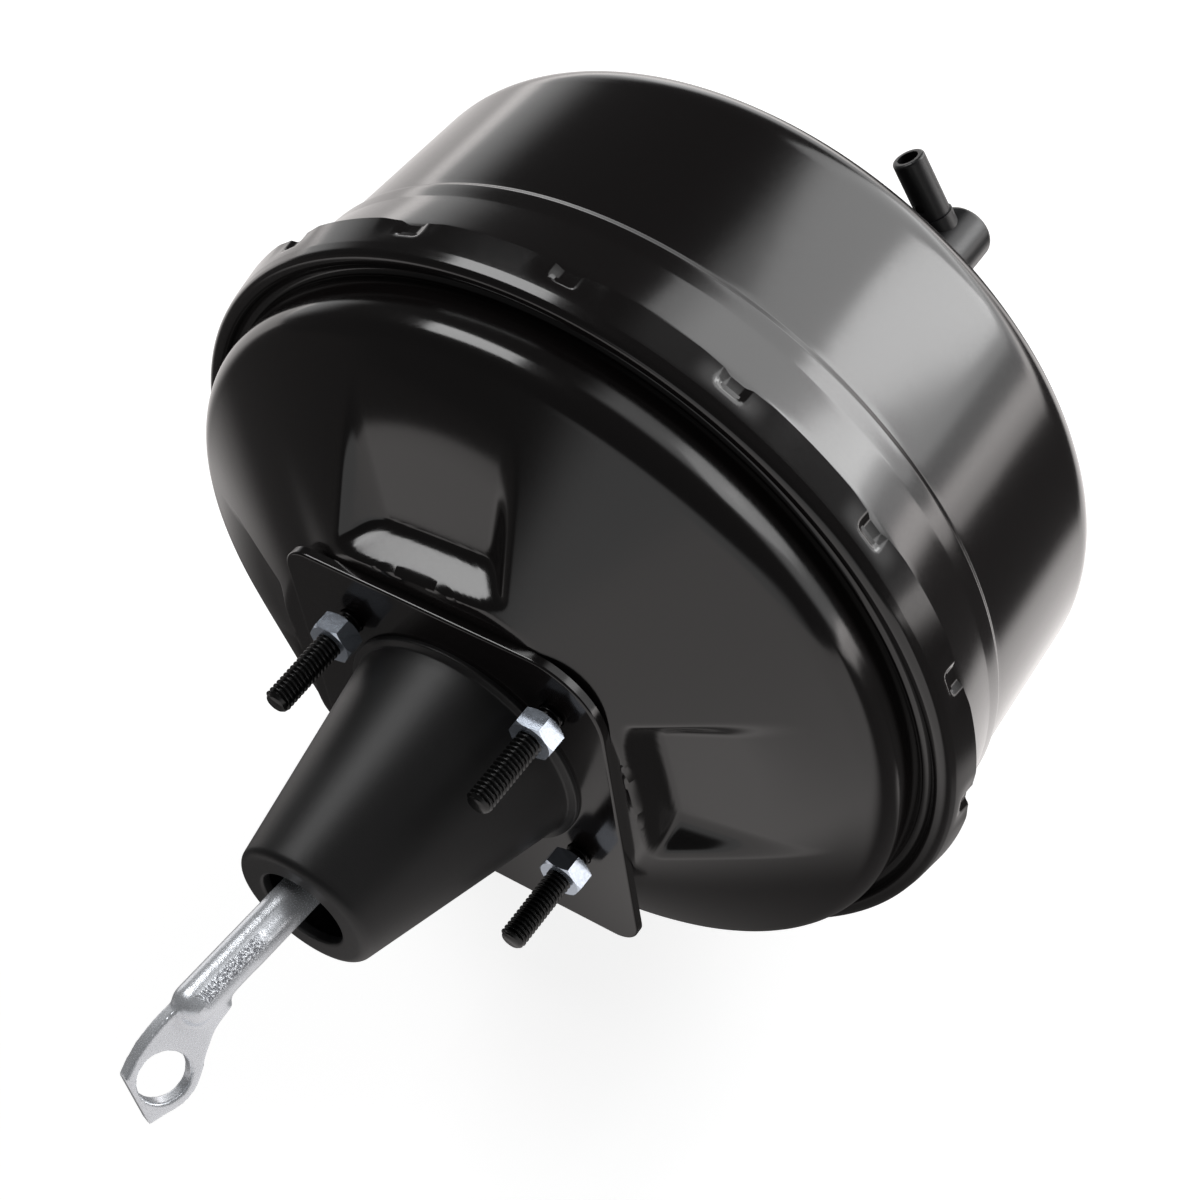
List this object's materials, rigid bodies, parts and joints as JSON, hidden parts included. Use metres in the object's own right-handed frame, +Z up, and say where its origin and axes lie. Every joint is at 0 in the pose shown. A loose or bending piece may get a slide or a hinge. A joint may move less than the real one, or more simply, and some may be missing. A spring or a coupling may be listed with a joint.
{
  "type": "vacuum brake booster",
  "caption": "Vacuum brake booster: black pressed steel casing, rubber boot, cranked eye pushrod, firewall studs with zinc nuts and a side check valve.",
  "frame": {"origin": "centre of the four firewall studs, in the plane 11 mm behind the boot flange's outer face", "axes": "+Y from the pedal side towards the master cylinder, +Z up, +X to the right as seen from the pedal"},
  "size_m": [0.2704, 0.3252, 0.2704],
  "materials": {
    "black_paint": "gloss",
    "boot_rubber": "matte",
    "black_plated": "satin",
    "zinc_plated": "satin",
    "forged_steel": "satin",
    "machined_steel": "satin",
    "seal_rubber": "matte",
    "diaphragm_rubber": "matte",
    "phenolic": "matte",
    "white_plastic": "satin",
    "black_plastic": "satin",
    "spring_steel": "satin",
    "filter_felt": "matte",
    "filter_foam": "matte"
  },
  "bodies": {
    "casing": {"rear_shell": "black_paint", "front_shell": "black_paint", "rear_plate": "machined_steel", "front_plate": "machined_steel", "firewall_studs": "black_plated", "firewall_nuts": "zinc_plated", "mc_studs": "black_plated", "mounting_plate": "black_paint", "dust_boot": "boot_rubber", "rear_seal": "seal_rubber", "guide_bush": "white_plastic", "seal_retainer": "zinc_plated", "seal_cup": "zinc_plated", "front_seal": "seal_rubber", "grommet": "seal_rubber", "diaphragm": "diaphragm_rubber", "return_spring": "spring_steel"},
    "power_piston": {"valve_body": "phenolic", "stop_key": "machined_steel", "support_plate": "zinc_plated", "reaction_disc": "seal_rubber", "output_rod": "machined_steel", "rod_adjuster": "zinc_plated", "output_clip": "spring_steel", "poppet_valve": "seal_rubber", "poppet_retainer": "zinc_plated", "poppet_spring": "spring_steel", "rod_spring": "spring_steel", "silencer": "filter_foam", "air_filter": "filter_felt", "end_ring": "black_plastic"},
    "plunger": {"valve_plunger": "machined_steel"},
    "pushrod": {"input_rod": "forged_steel", "spring_washer": "machined_steel"},
    "check_elbow_body": {"check_elbow": "black_plastic", "check_spring": "spring_steel"},
    "check_valve_disc": {"check_disc": "seal_rubber"}
  },
  "joints": [
    {"name": "piston_slide", "type": "slide", "parent": "casing", "child": "power_piston", "axis": [0, 1, 0], "range_m": [0, 0.032], "stiffness_N_per_m": 1500, "springref_m": -0.08, "deforming": ["return_spring", "diaphragm"]},
    {"name": "plunger_slide", "type": "slide", "parent": "power_piston", "child": "plunger", "axis": [0, 1, 0], "range_m": [0, 0.0014], "stiffness_N_per_m": 4000, "springref_m": -0.006, "deforming": ["rod_spring"]},
    {"name": "pushrod_swing", "type": "hinge", "parent": "plunger", "child": "pushrod", "pos_m": [-0.0045, 0.017, 0], "axis": [1, 0, 0], "range_deg": [-0.5, 4.5]},
    {"name": "elbow_turn", "type": "hinge", "parent": "casing", "child": "check_elbow_body", "pos_m": [0.06049, 0.171, 0.07295], "axis": [0, 1, 0], "continuous": true},
    {"name": "check_lift", "type": "slide", "parent": "check_elbow_body", "child": "check_valve_disc", "axis": [0, 1, 0], "range_m": [0, 0.0015], "stiffness_N_per_m": 60, "springref_m": -0.003, "deforming": ["check_spring"]}
  ]
}
